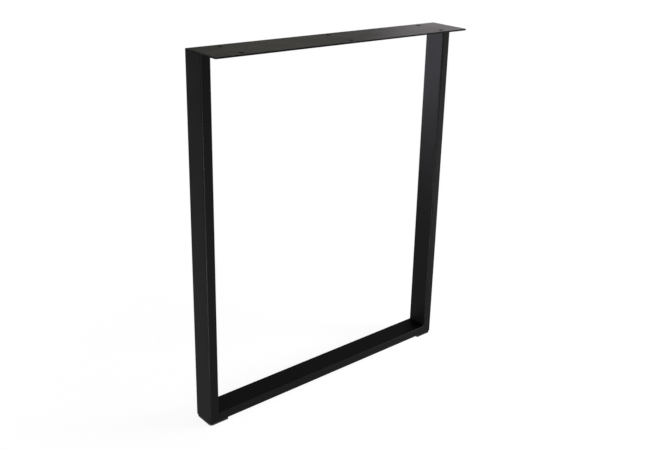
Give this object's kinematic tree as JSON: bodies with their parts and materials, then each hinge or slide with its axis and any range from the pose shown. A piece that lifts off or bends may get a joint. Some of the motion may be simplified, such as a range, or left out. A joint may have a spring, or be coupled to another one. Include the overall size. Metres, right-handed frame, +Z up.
{
  "type": "table leg",
  "caption": "Rectangular end frame for a table: welded steel tube under a flat screw-on top plate, on thin foot pads, coated satin black.",
  "frame": {"origin": "on the floor, in the middle of the part's footprint, straight below the centre of the top plate", "axes": "+X along the frame from the left upright to the right one, +Y from the plate's overhanging edge to the tubes' back faces, +Z up"},
  "size_m": [0.6, 0.095, 0.72],
  "materials": {
    "frame_coat": "satin black powder coat",
    "pad_plastic": "matte black moulded plastic"
  },
  "bodies": {
    "root": {"top_plate": "frame_coat", "left_upright": "frame_coat", "right_upright": "frame_coat", "bottom_rail": "frame_coat", "left_top_weld": "frame_coat", "right_top_weld": "frame_coat", "left_foot_pad": "pad_plastic", "right_foot_pad": "pad_plastic"}
  },
  "joints": []
}
